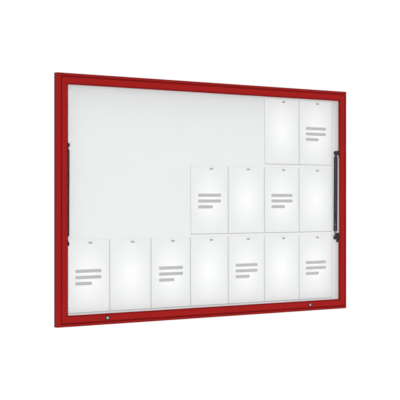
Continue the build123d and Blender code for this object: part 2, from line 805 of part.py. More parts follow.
# Paper sheets, in as many columns and rows as the opening takes
opening_width = overall_width - 2 * door_inner
opening_height = overall_height - 2 * door_inner
column_pitch = sheet_width + sheet_column_gap
row_pitch = sheet_height + sheet_row_gap
columns = int((opening_width + sheet_column_gap) // column_pitch)
rows = int((opening_height + sheet_row_gap) // row_pitch)
sheet_places = [
    (sheet_shift + (column - (columns - 1) / 2) * column_pitch, (row - (rows - 1) / 2) * row_pitch)
    for row in range(rows)
    for column in range(sheet_row_starts[row % len(sheet_row_starts)], columns)
]
with BuildPart() as paper_sheets:
    with BuildSketch(at_depth(panel_front)):
        with Locations(*sheet_places):
            Rectangle(sheet_width, sheet_height)
    extrude(amount=sheet_thickness)
save(paper_sheets, "paper_sheets")

# Bar magnets with round ends, one at the top of each sheet
magnet_rise = sheet_height / 2 - magnet_drop
magnet_places = [(x + magnet_shift, z + magnet_rise) for x, z in sheet_places]
with BuildPart() as sheet_magnets:
    with BuildSketch(at_depth(sheet_front)):
        with Locations(*magnet_places):
            SlotOverall(magnet_length, magnet_width)
    extrude(amount=magnet_height)
    chamfer(sheet_magnets.faces().group_by(Axis.Y)[0].edges(), magnet_edge)
save(sheet_magnets, "sheet_magnets")
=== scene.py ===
import math
import random

import bmesh
import bpy
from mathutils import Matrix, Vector


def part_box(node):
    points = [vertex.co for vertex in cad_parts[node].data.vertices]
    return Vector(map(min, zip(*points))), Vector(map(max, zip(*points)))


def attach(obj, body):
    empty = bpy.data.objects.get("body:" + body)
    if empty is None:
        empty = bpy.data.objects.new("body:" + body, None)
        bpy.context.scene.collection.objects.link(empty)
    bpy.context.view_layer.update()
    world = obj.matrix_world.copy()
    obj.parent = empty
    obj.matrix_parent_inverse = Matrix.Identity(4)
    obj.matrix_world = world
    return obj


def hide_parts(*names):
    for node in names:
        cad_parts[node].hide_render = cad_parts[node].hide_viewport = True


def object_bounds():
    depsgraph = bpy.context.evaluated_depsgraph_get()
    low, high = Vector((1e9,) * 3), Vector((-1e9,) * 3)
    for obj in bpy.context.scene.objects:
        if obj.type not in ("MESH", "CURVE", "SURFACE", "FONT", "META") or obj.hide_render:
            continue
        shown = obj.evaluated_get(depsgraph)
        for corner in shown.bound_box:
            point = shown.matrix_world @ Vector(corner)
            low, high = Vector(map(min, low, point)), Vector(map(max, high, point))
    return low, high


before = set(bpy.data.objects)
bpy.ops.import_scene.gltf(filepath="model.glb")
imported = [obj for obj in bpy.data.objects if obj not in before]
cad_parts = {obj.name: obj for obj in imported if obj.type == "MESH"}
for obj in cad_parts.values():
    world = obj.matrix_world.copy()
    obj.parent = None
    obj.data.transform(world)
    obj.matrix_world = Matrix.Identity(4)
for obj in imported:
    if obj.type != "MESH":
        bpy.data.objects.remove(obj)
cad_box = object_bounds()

# Case frame: four lengths of hollow aluminium extrusion, mitred and pulled together at the
# corners, then powder coated red. The coat has a fine orange peel and some grime in the mitres,
# with painted shade in its grooves and in darker bands along its rim, its wall edge and the lip.
coat_red = (0.338, 0.0125, 0.0118, 1.0)
worn_red = (0.40, 0.018, 0.015, 1.0)
# painted shade: the darker red laid in the coat's corners and grooves
red_corner_shade = (0.15, 0.005, 0.004, 1.0)
# painted shade: the darker red of the bands along the rim, the lip and the wall edge
painted_shade_red = (0.17, 0.004, 0.0035, 1.0)
mitre_grime = (0.07, 0.003, 0.0025, 1.0)
coat_peel = (900.0, 0.00005)
noise_range = (0.3, 0.7)


def node(tree, kind, inputs=None, **settings):
    """Add a node, set its options, and set or link its inputs by name or number."""
    made = tree.nodes.new(kind)
    for key, value in settings.items():
        setattr(made, key, value)
    for key, value in (inputs or {}).items():
        if isinstance(value, bpy.types.NodeSocket):
            tree.links.new(value, made.inputs[key])
        else:
            made.inputs[key].default_value = value
    return made


def maths(tree, operation, *values):
    """Add a math node on values or sockets and return its result."""
    return node(tree, "ShaderNodeMath", dict(enumerate(values)), operation=operation).outputs[0]


def spread(tree, value, low, high, new_low, new_high):
    """Map a value from one range to another, clamped at both ends, and return it."""
    inputs = {"Value": value, "From Min": low, "From Max": high, "To Min": new_low, "To Max": new_high}
    return node(tree, "ShaderNodeMapRange", inputs).outputs["Result"]


def mixed(tree, mask, first, second):
    """Mix two colours by a mask and return the colour."""
    return node(tree, "ShaderNodeMix", {0: mask, 6: first, 7: second}, data_type="RGBA").outputs[2]


def noise(tree, place, scale, detail):
    """Add a noise texture at a place and return its value."""
    inputs = {"Vector": place, "Scale": scale, "Detail": detail}
    return node(tree, "ShaderNodeTexNoise", inputs).outputs[0]


def varied(tree, noise_value, low, high):
    """Spread the usual range of a noise value over another range and return it."""
    return spread(tree, noise_value, *noise_range, low, high)


def on_piece(tree):
    """The place on a piece, in metres, as it lies in the frame at rest."""
    return node(tree, "ShaderNodeTexCoord").outputs["Object"]


def parted(tree, place):
    """The three lengths of a place, by the letters X, Y and Z."""
    return node(tree, "ShaderNodeSeparateXYZ", {0: place}).outputs


def new_group(name, inputs, outputs):
    """Start a shader node group and return it with its given values and its results."""
    group = bpy.data.node_groups.new(name, "ShaderNodeTree")
    for in_out, sockets in (("INPUT", inputs), ("OUTPUT", outputs)):
        for label, kind in sockets.items():
            group.interface.new_socket(name=label, in_out=in_out, socket_type=f"NodeSocket{kind}")
    given = group.nodes.new("NodeGroupInput").outputs
    result = group.nodes.new("NodeGroupOutput").inputs
    return group, given, result


def placed(tree, group, values):
    """Place a node group in a material with its own values and return its outputs."""
    return node(tree, "ShaderNodeGroup", values, node_tree=group).outputs


def new_material(name):
    """Start a material and return it with its node tree and its shader."""
    material = bpy.data.materials.new(name)
    material.use_nodes = True
    return material, material.node_tree, material.node_tree.nodes["Principled BSDF"]


def dress(names, material):
    """Give these pieces of the frame a material."""
    for name in names:
        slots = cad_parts[name].data.materials
        slots.clear()
        slots.append(material)


# Coat texture: the orange peel of a baked coat, with a slow drift of shade and gloss
cloud_scale = 7.0
fleck_range = (0.97, 1.03)
coat_dulling = (-0.06, 0.08)
coat_texture, given, result = new_group(
    "Coat texture",
    {"Colour": "Color", "Drift": "Float", "Roughness": "Float", "Peel Scale": "Float"},
    {"Colour": "Color", "Roughness": "Float", "Height": "Float"},
)
place = on_piece(coat_texture)
peel = noise(coat_texture, place, given["Peel Scale"], detail=3.0)
cloud = noise(coat_texture, place, cloud_scale, detail=5.0)
darkest = maths(coat_texture, "SUBTRACT", 1.0, given["Drift"])
lightest = maths(coat_texture, "ADD", 1.0, given["Drift"])
shade = varied(coat_texture, cloud, darkest, lightest)
fleck = varied(coat_texture, peel, *fleck_range)
value = maths(coat_texture, "MULTIPLY", shade, fleck)
toned = node(coat_texture, "ShaderNodeHueSaturation", {"Value": value, "Color": given["Colour"]})
dulling = varied(coat_texture, cloud, *coat_dulling)
duller = maths(coat_texture, "ADD", given["Roughness"], dulling)
coat_texture.links.new(toned.outputs[0], result["Colour"])
coat_texture.links.new(duller, result["Roughness"])
coat_texture.links.new(peel, result["Height"])

# Edge wear: a mask along outer edges, broken up into patches
edge_range = (0.99, 0.8)
wear_patch_range, least_wear = (0.4, 0.65), 0.15
edge_wear, given, result = new_group(
    "Edge wear",
    {"Width": "Float", "Patch Scale": "Float", "Amount": "Float"},
    {"Mask": "Float"},
)
rounded = node(edge_wear, "ShaderNodeBevel", {"Radius": given["Width"]}, samples=6).outputs[0]
facing = node(edge_wear, "ShaderNodeNewGeometry").outputs["Normal"]
flatness = node(edge_wear, "ShaderNodeVectorMath", {0: rounded, 1: facing}, operation="DOT_PRODUCT")
edge = spread(edge_wear, flatness.outputs["Value"], *edge_range, 0.0, 1.0)
spots = noise(edge_wear, on_piece(edge_wear), given["Patch Scale"], detail=4.0)
patches = spread(edge_wear, spots, *wear_patch_range, least_wear, 1.0)
worn_patches = maths(edge_wear, "MULTIPLY", edge, patches)
edge_wear.links.new(maths(edge_wear, "MULTIPLY", worn_patches, given["Amount"]), result["Mask"])

# Corner grime and shade: a mask from occlusion in corners and grooves, broken into patches.
# A darker colour laid by it is painted shade, a paler one is dust
corner_range = (0.85, 0.3)
least_corner_tone = 0.4
corner_grime_and_shade, given, result = new_group(
    "Settled grime",
    {"Reach": "Float", "Patch Scale": "Float", "Amount": "Float"},
    {"Mask": "Float"},
)
openness = node(corner_grime_and_shade, "ShaderNodeAmbientOcclusion", {"Distance": given["Reach"]}, samples=6)
corner = spread(corner_grime_and_shade, openness.outputs["AO"], *corner_range, 0.0, 1.0)
spots = noise(corner_grime_and_shade, on_piece(corner_grime_and_shade), given["Patch Scale"], detail=4.0)
patches = varied(corner_grime_and_shade, spots, least_corner_tone, 1.0)
corner_patches = maths(corner_grime_and_shade, "MULTIPLY", corner, patches)
corner_grime_and_shade.links.new(maths(corner_grime_and_shade, "MULTIPLY", corner_patches, given["Amount"]), result["Mask"])

# Edge distance: how far a point lies inside a rectangle about the middle of the board
edge_distance, given, result = new_group(
    "Edge distance",
    {"Half Width": "Float", "Half Height": "Float"},
    {"From Side": "Float", "From End": "Float", "From Edge": "Float"},
)
lengths = parted(edge_distance, on_piece(edge_distance))
off_x = maths(edge_distance, "ABSOLUTE", lengths["X"])
off_z = maths(edge_distance, "ABSOLUTE", lengths["Z"])
from_side = maths(edge_distance, "SUBTRACT", given["Half Width"], off_x)
from_end = maths(edge_distance, "SUBTRACT", given["Half Height"], off_z)
edge_distance.links.new(from_side, result["From Side"])
edge_distance.links.new(from_end, result["From End"])
edge_distance.links.new(maths(edge_distance, "MINIMUM", from_side, from_end), result["From Edge"])

wear_width, wear_patch_scale = 0.0008, 40.0
corner_reach, corner_patch_scale = 0.010, 25.0
coat_edge_radius = 0.0005


def coated(name, colours, peel, roughness, gloss, wear, grime_and_shade, drift=0.04):
    """A coated finish from its clean and worn colours, its corner colour (painted shade where darker, dust
    where paler) and the scale and depth of its peel.
    """
    material, tree, shader = new_material(name)
    clean, worn, corner_tone = colours
    peel_scale, peel_depth = peel
    coat_values = {"Colour": clean, "Drift": drift, "Roughness": roughness, "Peel Scale": peel_scale}
    wear_values = {"Width": wear_width, "Patch Scale": wear_patch_scale, "Amount": wear}
    corner_values = {"Reach": corner_reach, "Patch Scale": corner_patch_scale, "Amount": grime_and_shade}
    coat = placed(tree, coat_texture, coat_values)
    with_wear = mixed(tree, placed(tree, edge_wear, wear_values)["Mask"], coat["Colour"], worn)
    with_corner_tone = mixed(tree, placed(tree, corner_grime_and_shade, corner_values)["Mask"], with_wear, corner_tone)
    soft_edge = node(tree, "ShaderNodeBevel", {"Radius": coat_edge_radius}, samples=4).outputs[0]
    peeled = {"Height": coat["Height"], "Distance": peel_depth, "Normal": soft_edge}
    tree.links.new(with_corner_tone, shader.inputs["Base Color"])
    tree.links.new(coat["Roughness"], shader.inputs["Roughness"])
    tree.links.new(node(tree, "ShaderNodeBump", peeled).outputs[0], shader.inputs["Normal"])
    shader.inputs["Specular IOR Level"].default_value = gloss
    return material


def overlaid(material, mask, colour):
    """Lay a colour over a finish by a mask that is made in its own tree."""
    tree = material.node_tree
    base = tree.nodes["Principled BSDF"].inputs["Base Color"]
    tree.links.new(mixed(tree, mask, base.links[0].from_socket, colour), base)


red_tones = (coat_red, worn_red, red_corner_shade)
red_coat = coated("Red powder coat", red_tones, coat_peel, roughness=0.42, gloss=0.04, wear=0.3, grime_and_shade=0.1)
dress(["case_top_rail", "case_bottom_rail", "case_left_stile", "case_right_stile"], red_coat)

# Painted shade on the red coat: darker bands along rim, lip and wall edge; and dirt in the mitres
board_half = {"Half Width": cad_box[1].x, "Half Height": cad_box[1].z}
opening_half = {
    "Half Width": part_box("door_right_stile")[0].x,
    "Half Height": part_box("door_top_rail")[0].z,
}
rim_band_peak, rim_band_end, rim_depth = 0.003, 0.009, 0.5
lip_band_start, lip_band_end, lip_depth = 0.004, 0.008, 0.65
wall_band_start, wall_band_full = 0.0005, 0.0015
wall_band_fade, wall_band_end, wall_depth = 0.010, 0.016, 0.85
mitre_line, mitre_fade, mitre_depth = 0.0002, 0.0007, 0.75
tree = red_coat.node_tree
on_board = placed(tree, edge_distance, board_half)
rising = spread(tree, on_board["From Edge"], 0.0, rim_band_peak, 0.0, rim_depth)
falling = spread(tree, on_board["From Edge"], rim_band_peak, rim_band_end, rim_depth, 0.0)
overlaid(red_coat, maths(tree, "MINIMUM", rising, falling), painted_shade_red)
from_lip = placed(tree, edge_distance, opening_half)["From Edge"]
near_lip = spread(tree, from_lip, -lip_band_end, -lip_band_start, 0.0, lip_depth)
overlaid(red_coat, near_lip, painted_shade_red)
off_wall = parted(tree, on_piece(tree))["Y"]
rising = spread(tree, off_wall, -wall_band_start, -wall_band_full, 0.0, wall_depth)
falling = spread(tree, off_wall, -wall_band_end, -wall_band_fade, 0.0, wall_depth)
overlaid(red_coat, maths(tree, "MINIMUM", rising, falling), painted_shade_red)
off_mitre = maths(tree, "SUBTRACT", on_board["From Side"], on_board["From End"])
off_mitre = maths(tree, "ABSOLUTE", off_mitre)
overlaid(red_coat, spread(tree, off_mitre, mitre_line, mitre_fade, mitre_depth, 0.0), mitre_grime)

# Corner cleats: L-shaped aluminium blocks pressed into the hollows of the mitred corners of
# the case and the door. Mill finish, with fine drawing lines.
mill_aluminium = (0.66, 0.66, 0.67, 1.0)
drawn_grain = (300.0, 2500.0, 300.0)
metal_edge_radius = 0.0003

# Metal grain: fine lines along a piece, with faint stains
stain_scale = 60.0
line_range, stain_range = (0.93, 1.05), (0.9, 1.04)
metal_dulling = (-0.04, 0.1)
metal_grain, given, result = new_group(
    "Metal grain",
    {"Colour": "Color", "Roughness": "Float", "Grain": "Vector"},
    {"Colour": "Color", "Roughness": "Float", "Height": "Float"},
)
place = on_piece(metal_grain)
along = node(metal_grain, "ShaderNodeVectorMath", {0: place, 1: given["Grain"]}, operation="MULTIPLY")
lines = noise(metal_grain, along.outputs[0], scale=1.0, detail=4.0)
stain = noise(metal_grain, place, stain_scale, detail=4.0)
line_tone = varied(metal_grain, lines, *line_range)
stain_tone = varied(metal_grain, stain, *stain_range)
tone = maths(metal_grain, "MULTIPLY", line_tone, stain_tone)
toned = node(metal_grain, "ShaderNodeHueSaturation", {"Value": tone, "Color": given["Colour"]})
dulling = varied(metal_grain, stain, *metal_dulling)
rougher = maths(metal_grain, "ADD", given["Roughness"], dulling)
metal_grain.links.new(toned.outputs[0], result["Colour"])
metal_grain.links.new(rougher, result["Roughness"])
metal_grain.links.new(lines, result["Height"])


def bare_metal(name, colour, grain, roughness, depth=0.00001):
    """A bare or plated metal with a grain: its lines run where the grain's number is small."""
    material, tree, shader = new_material(name)
    metal = placed(tree, metal_grain, {"Colour": colour, "Roughness": roughness, "Grain": grain})
    soft_edge = node(tree, "ShaderNodeBevel", {"Radius": metal_edge_radius}, samples=4).outputs[0]
    grained = {"Height": metal["Height"], "Distance": depth, "Normal": soft_edge}
    tree.links.new(metal["Colour"], shader.inputs["Base Color"])
    tree.links.new(metal["Roughness"], shader.inputs["Roughness"])
    tree.links.new(node(tree, "ShaderNodeBump", grained).outputs[0], shader.inputs["Normal"])
    shader.inputs["Metallic"].default_value = 1.0
    return material


cleat_metal = bare_metal("Mill aluminium", mill_aluminium, drawn_grain, roughness=0.38)
dress(["case_corner_cleats", "door_corner_cleats"], cleat_metal)

# Back panel: a sheet of white lacquered steel that takes magnets, riveted to the back flange
# of the case. The lacquer is satin, with painted shade greying it towards the top and the left.
lacquer_white = (0.825, 0.829, 0.829, 1.0)
lacquer_worn = (0.84, 0.85, 0.85, 1.0)
# painted shade: the darker grey laid in the lacquer's corners
lacquer_corner_shade = (0.60, 0.61, 0.61, 1.0)
# painted shade: the grey the lacquer takes towards the top and the left
painted_shade_grey = (0.725, 0.73, 0.735, 1.0)
left_shade_reach, top_shade_reach = 0.12, 0.24
rivet_aluminium = (0.7, 0.7, 0.71, 1.0)
fine_grain = (900.0, 900.0, 900.0)
white_lacquer = coated(
    "White lacquer",
    (lacquer_white, lacquer_worn, lacquer_corner_shade),
    peel=(500.0, 0.00002),
    roughness=0.4,
    gloss=0.2,
    wear=0.1,
    grime_and_shade=0.15,
    drift=0.012,
)
dress(["back_panel"], white_lacquer)
# Painted shade towards the top and left edges of the opening
tree = white_lacquer.node_tree
lengths = parted(tree, on_piece(tree))
from_left = maths(tree, "ADD", lengths["X"], opening_half["Half Width"])
from_top = maths(tree, "SUBTRACT", opening_half["Half Height"], lengths["Z"])
near_left = maths(tree, "POWER", spread(tree, from_left, 0.0, left_shade_reach, 1.0, 0.0), 2.0)
near_top = maths(tree, "POWER", spread(tree, from_top, 0.0, top_shade_reach, 1.0, 0.0), 2.0)
shared = maths(tree, "MULTIPLY", near_left, near_top)
panel_painted_shade = maths(tree, "SUBTRACT", maths(tree, "ADD", near_left, near_top), shared)
overlaid(white_lacquer, panel_painted_shade, painted_shade_grey)
rivet_metal = bare_metal("Rivet aluminium", rivet_aluminium, fine_grain, roughness=0.32)
dress(["panel_rivets"], rivet_metal)

# Weather seal: an extruded rubber ring on the rib of the case, against which the door closes.
# Matt black, dulled by a little pale dust.
rubber_black = (0.016, 0.016, 0.017, 1.0)
rubber_dust = (0.07, 0.068, 0.065, 1.0)
seal_rubber = coated(
    "Seal rubber",
    (rubber_black, rubber_dust, rubber_dust),
    peel=(1500.0, 0.00004),
    roughness=0.7,
    gloss=0.25,
    wear=0.3,
    grime_and_shade=0.3,
)
dress(["door_seal"], seal_rubber)

# Door frame: four mitred lengths of a lighter hollow extrusion with a bevelled lip in front of
# the glass, in the same red coat as the case.
dress(["door_top_rail", "door_bottom_rail", "door_left_stile", "door_right_stile"], red_coat)

# Glazing: clear toughened glass, bedded on white foam tape behind the lip and held by coated
# beads clipped in behind it. The glass has a low index, so that it veils the sheets only faintly.
foam_white = (0.94, 0.94, 0.935, 1.0)
# painted shade: the darker grey laid in the tape's corners
foam_corner_shade = (0.70, 0.69, 0.67, 1.0)
glass_tint = (0.992, 0.995, 0.994, 1.0)
glass_index = 1.2
smear_scale, smear_range, smear_roughness = 9.0, (0.5, 0.75), 0.02
wave_scale, wave_depth = 14.0, 0.00002
foam_tape = coated(
    "Foam tape",
    (foam_white, foam_white, foam_corner_shade),
    peel=(2500.0, 0.00006),
    roughness=0.85,
    gloss=0.1,
    wear=0.0,
    grime_and_shade=0.05,
)
dress(["glazing_tape"], foam_tape)
dress(["glazing_beads"], red_coat)

clear_glass, tree, shader = new_material("Toughened glass")
shader.inputs["Base Color"].default_value = glass_tint
shader.inputs["Transmission Weight"].default_value = 1.0
shader.inputs["IOR"].default_value = glass_index
place = on_piece(tree)
smears = noise(tree, place, smear_scale, detail=5.0)
smeared = spread(tree, smears, *smear_range, 0.0, smear_roughness)
waves = noise(tree, place, wave_scale, detail=1.0)
waved = node(tree, "ShaderNodeBump", {"Height": waves, "Distance": wave_depth}).outputs[0]
tree.links.new(smeared, shader.inputs["Roughness"])
tree.links.new(waved, shader.inputs["Normal"])
path = node(tree, "ShaderNodeLightPath").outputs
lets_light_in = maths(tree, "MAXIMUM", path["Is Shadow Ray"], path["Is Diffuse Ray"])
clear = node(tree, "ShaderNodeBsdfTransparent", {"Color": glass_tint})
both = node(tree, "ShaderNodeMixShader", {0: lets_light_in, 1: shader.outputs[0], 2: clear.outputs[0]})
tree.links.new(both.outputs[0], tree.nodes["Material Output"].inputs["Surface"])
dress(["door_glass"], clear_glass)

# Hinge: a continuous strip hinge in the gap above the door. Both leaves are in a darker copy of
# the red coat, painted shade for the gap; the pin and the rivet heads are plated steel.
# painted shade: a darker copy of the frame's red, for the leaves in the gap above the door
hinge_shaded_red = (0.21, 0.006, 0.0055, 1.0)
zinc_plate = (0.58, 0.58, 0.57, 1.0)
hinge_tones = (hinge_shaded_red, coat_red, red_corner_shade)
hinge_shaded_coat = coated("Dark red coat", hinge_tones, coat_peel, roughness=0.5, gloss=0.08, wear=0.1, grime_and_shade=0.1)
plated_steel = bare_metal("Plated steel", zinc_plate, fine_grain, roughness=0.3)
dress(["hinge_case_leaf", "hinge_door_leaf"], hinge_shaded_coat)
dress(["hinge_pin", "hinge_case_rivets", "hinge_door_rivets"], plated_steel)

# Gas struts: a painted steel tube on the door, a black nitrided rod on the case, moulded ball
# sockets at both ends, and bent steel brackets under two screws each.
strut_grey = (0.012, 0.012, 0.013, 1.0)
bracket_grey = (0.015, 0.015, 0.016, 1.0)
strut_worn = (0.06, 0.06, 0.06, 1.0)
strut_dust = (0.03, 0.029, 0.028, 1.0)
turned_grey = (0.5, 0.5, 0.5, 1.0)
nitride_black = (0.045, 0.045, 0.047, 1.0)
turned_grain = (200.0, 200.0, 3000.0)
strut_paint = coated(
    "Strut paint",
    (strut_grey, strut_worn, strut_dust),
    peel=(1200.0, 0.00001),
    roughness=0.45,
    gloss=0.06,
    wear=0.05,
    grime_and_shade=0.0,
)
bracket_coat = coated(
    "Bracket coat",
    (bracket_grey, strut_worn, strut_dust),
    peel=(1400.0, 0.00003),
    roughness=0.5,
    gloss=0.12,
    wear=0.1,
    grime_and_shade=0.1,
)
socket_plastic = coated(
    "Socket plastic",
    (bracket_grey, strut_worn, strut_dust),
    peel=(2200.0, 0.00002),
    roughness=0.55,
    gloss=0.1,
    wear=0.08,
    grime_and_shade=0.1,
)
turned_steel = bare_metal("Turned steel", turned_grey, turned_grain, roughness=0.35)
nitrided_steel = bare_metal("Nitrided steel", nitride_black, turned_grain, roughness=0.28, depth=0.000004)
for hand in ("left", "right"):
    dress([f"strut_{hand}_tube"], strut_paint)
    dress([f"strut_{hand}_rod"], nitrided_steel)
    dress([f"strut_{hand}_{inner}" for inner in ("end_plug", "rod_guide", "piston")], turned_steel)
    dress([f"strut_{hand}_upper_socket", f"strut_{hand}_lower_socket"], socket_plastic)
    dress([f"strut_{hand}_door_bracket", f"strut_{hand}_case_bracket"], bracket_coat)
dress(["door_ball_studs", "case_ball_studs"], plated_steel)
dress(["door_bracket_screws", "case_bracket_screws"], plated_steel)

# Cam locks: a black die-cast housing through the bottom rail with a satin chromed plug, a
# plated nut behind the rail, and a plated cam on the plug's end under a screw.
lock_black = (0.014, 0.014, 0.015, 1.0)
lock_chrome = (0.62, 0.61, 0.60, 1.0)
faced_grain = (1500.0, 200.0, 1500.0)
lock_casting = coated(
    "Lock casting",
    (lock_black, strut_worn, strut_dust),
    peel=(1800.0, 0.00002),
    roughness=0.4,
    gloss=0.1,
    wear=0.1,
    grime_and_shade=0.2,
)
satin_chrome = bare_metal("Satin chrome", lock_chrome, faced_grain, roughness=0.24, depth=0.000006)
for hand in ("left", "right"):
    dress([f"lock_{hand}_housing"], lock_casting)
    dress([f"lock_{hand}_plug"], satin_chrome)
    dress([f"lock_{hand}_cam", f"lock_{hand}_cam_screw"], plated_steel)
dress(["lock_nuts"], plated_steel)

# Paper sheets: plain A4 notices in a grid on the panel, each hanging from one magnet, so that
# its foot and corners stand a little off the panel. Each sheet is painted with a pool of light that
# fades from white in its middle to pale grey, and every other sheet carries a block of plain bars.
sheet_width, sheet_height, sheet_thickness = 0.210, 0.297, 0.00025
row_starts = (0, 3, 5)
column_count = 7
sheet_steps_x, sheet_steps_z = 14, 22
sheet_seed = 7
least_lift = 0.6
foot_lift, foot_middle_share = 0.0022, 0.6
corner_lift, corner_head_share = 0.0010, 0.35
lift_margin, lift_run = 0.004, 0.06
sheet_low, sheet_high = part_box("paper_sheets")
column_pitch = (sheet_high.x - sheet_low.x - sheet_width) / (column_count - 1)
row_pitch = (sheet_high.z - sheet_low.z - sheet_height) / (len(row_starts) - 1)
strut_inner_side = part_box("strut_right_tube")[0].x - lift_margin


def sheet_lift(x, across, down, draw):
    """How far a sheet stands off the panel: across is -1 to 1, down is 0 at its head."""
    foot_draw, left_draw, right_draw = draw
    corner_draw = left_draw if across < 0 else right_draw
    room = min(1.0, max(0.0, (strut_inner_side - abs(x)) / lift_run))
    foot_share = foot_middle_share + (1 - foot_middle_share) * across**2
    corner_share = corner_head_share + (1 - corner_head_share) * down
    foot = foot_lift * foot_draw * down**4 * foot_share
    corners = corner_lift * corner_draw * abs(across) ** 3 * corner_share
    return room * (foot + corners)


def hang_sheet(name, left, bottom, draw):
    """One sheet as a thin closed shell, lifted off the panel at its foot and corners."""
    mesh = bmesh.new()
    back, front = [], []
    for row in range(sheet_steps_z + 1):
        for column in range(sheet_steps_x + 1):
            across, up = column / sheet_steps_x, row / sheet_steps_z
            x = left + sheet_width * across
            z = bottom + sheet_height * up
            y = sheet_high.y - sheet_lift(x, 2 * across - 1, 1 - up, draw)
            back.append(mesh.verts.new((x, y, z)))
            front.append(mesh.verts.new((x, y - sheet_thickness, z)))
    wide = sheet_steps_x + 1
    for row in range(sheet_steps_z):
        for column in range(sheet_steps_x):
            a = row * wide + column
            mesh.faces.new((front[a], front[a + 1], front[a + 1 + wide], front[a + wide])).smooth = True
            mesh.faces.new((back[a], back[a + wide], back[a + 1 + wide], back[a + 1])).smooth = True
    bottom_run = list(range(wide))
    right_run = [row * wide + sheet_steps_x for row in range(1, sheet_steps_z + 1)]
    top_run = [sheet_steps_z * wide + column for column in range(sheet_steps_x - 1, -1, -1)]
    left_run = [row * wide for row in range(sheet_steps_z - 1, 0, -1)]
    rim = bottom_run + right_run + top_run + left_run
    for a, b in zip(rim, rim[1:] + rim[:1]):
        cut_edge = mesh.faces.new((front[a], back[a], back[b], front[b]))
        for line in cut_edge.edges:
            line.smooth = False
    data = bpy.data.meshes.new(name)
    mesh.to_mesh(data)
    mesh.free()
    sheet = bpy.data.objects.new(name, data)
    bpy.context.scene.collection.objects.link(sheet)
    return sheet


# Printed bar: a mask of a bar with round ends, placed in shares of the sheet's width and height
bar_blur = 0.0004
printed_bar, given, result = new_group(
    "Printed bar",
    {"Place": "Vector", "Left": "Float", "Right": "Float", "Height": "Float", "Half Width": "Float"},
    {"Mask": "Float"},
)
shares = parted(printed_bar, given["Place"])
past_left = maths(printed_bar, "MAXIMUM", shares["X"], given["Left"])
on_bar = maths(printed_bar, "MINIMUM", past_left, given["Right"])
side_share = maths(printed_bar, "SUBTRACT", shares["X"], on_bar)
rise_share = maths(printed_bar, "SUBTRACT", shares["Z"], given["Height"])
side_gap = maths(printed_bar, "MULTIPLY", side_share, sheet_width)
rise_gap = maths(printed_bar, "MULTIPLY", rise_share, sheet_height)
side_square = maths(printed_bar, "POWER", side_gap, 2.0)
rise_square = maths(printed_bar, "POWER", rise_gap, 2.0)
gap = maths(printed_bar, "SQRT", maths(printed_bar, "ADD", side_square, rise_square))
reach = maths(printed_bar, "SUBTRACT", gap, given["Half Width"])
printed_bar.links.new(spread(printed_bar, reach, bar_blur, -bar_blur, 0.0, 1.0), result["Mask"])

# Paper: fine fibre, a painted pool of light that fades to pale grey away from the middle of the
# sheet, and painted shadow along the cut edges. Each edge band has the distances where it is
# full and gone, and its depth.
fibre_scale, fibre_depth = 1800.0, 0.00002
speckle_range = (0.985, 1.01)
painted_light_start = 0.1
# The bands are painted shadow along the sides, foot and head of each sheet.
side_band = (0.0008, 0.003, 0.9)
foot_band = (0.0018, 0.0045, 0.95)
head_band = (0.0005, 0.002, 0.3)
paper_stock, given, result = new_group(
    "Paper stock",
    {"White": "Color", "Shade": "Color", "Edge": "Color"},
    {"Colour": "Color", "Height": "Float"},
)
coordinate = node(paper_stock, "ShaderNodeTexCoord").outputs
shares = parted(paper_stock, coordinate["Generated"])
off_x = maths(paper_stock, "ABSOLUTE", maths(paper_stock, "SUBTRACT", shares["X"], 0.5))
off_z = maths(paper_stock, "ABSOLUTE", maths(paper_stock, "SUBTRACT", shares["Z"], 0.5))
square_x = maths(paper_stock, "POWER", maths(paper_stock, "MULTIPLY", off_x, 2.0), 2.0)
square_z = maths(paper_stock, "POWER", maths(paper_stock, "MULTIPLY", off_z, 2.0), 2.0)
off_middle = maths(paper_stock, "SQRT", maths(paper_stock, "ADD", square_x, square_z))
painted_light_fade = spread(paper_stock, off_middle, painted_light_start, 1.0, 0.0, 1.0)
near_side = maths(paper_stock, "MULTIPLY", maths(paper_stock, "SUBTRACT", 0.5, off_x), sheet_width)
near_foot = maths(paper_stock, "MULTIPLY", shares["Z"], sheet_height)
near_head = maths(paper_stock, "SUBTRACT", sheet_height, near_foot)
bands = ((near_side, side_band), (near_foot, foot_band), (near_head, head_band))
painted_shadow_mask = 0.0
for near, (full, gone, depth) in bands:
    band = spread(paper_stock, near, full, gone, depth, 0.0)
    painted_shadow_mask = maths(paper_stock, "MAXIMUM", painted_shadow_mask, band)
fibre = noise(paper_stock, coordinate["Object"], fibre_scale, detail=4.0)
with_painted_light = mixed(paper_stock, painted_light_fade, given["White"], given["Shade"])
edged = mixed(paper_stock, painted_shadow_mask, with_painted_light, given["Edge"])
speckle = varied(paper_stock, fibre, *speckle_range)
toned = node(paper_stock, "ShaderNodeHueSaturation", {"Value": speckle, "Color": edged})
paper_stock.links.new(toned.outputs[0], result["Colour"])
paper_stock.links.new(fibre, result["Height"])

paper_white = (0.96, 0.96, 0.96, 1.0)
# painted shade: the pale grey each sheet fades to, away from the painted pool of light in its middle
paper_painted_shade = (0.825, 0.828, 0.831, 1.0)
# painted shadow: the grey along each sheet's cut edges, strongest at the foot
edge_painted_shadow = (0.45, 0.45, 0.46, 1.0)
print_grey = (0.49, 0.49, 0.495, 1.0)
bar_start, long_bar_end, short_bar_end = 0.23, 0.78, 0.56
bar_half_width = 0.0068
paper_tones = {"White": paper_white, "Shade": paper_painted_shade, "Edge": edge_painted_shadow}


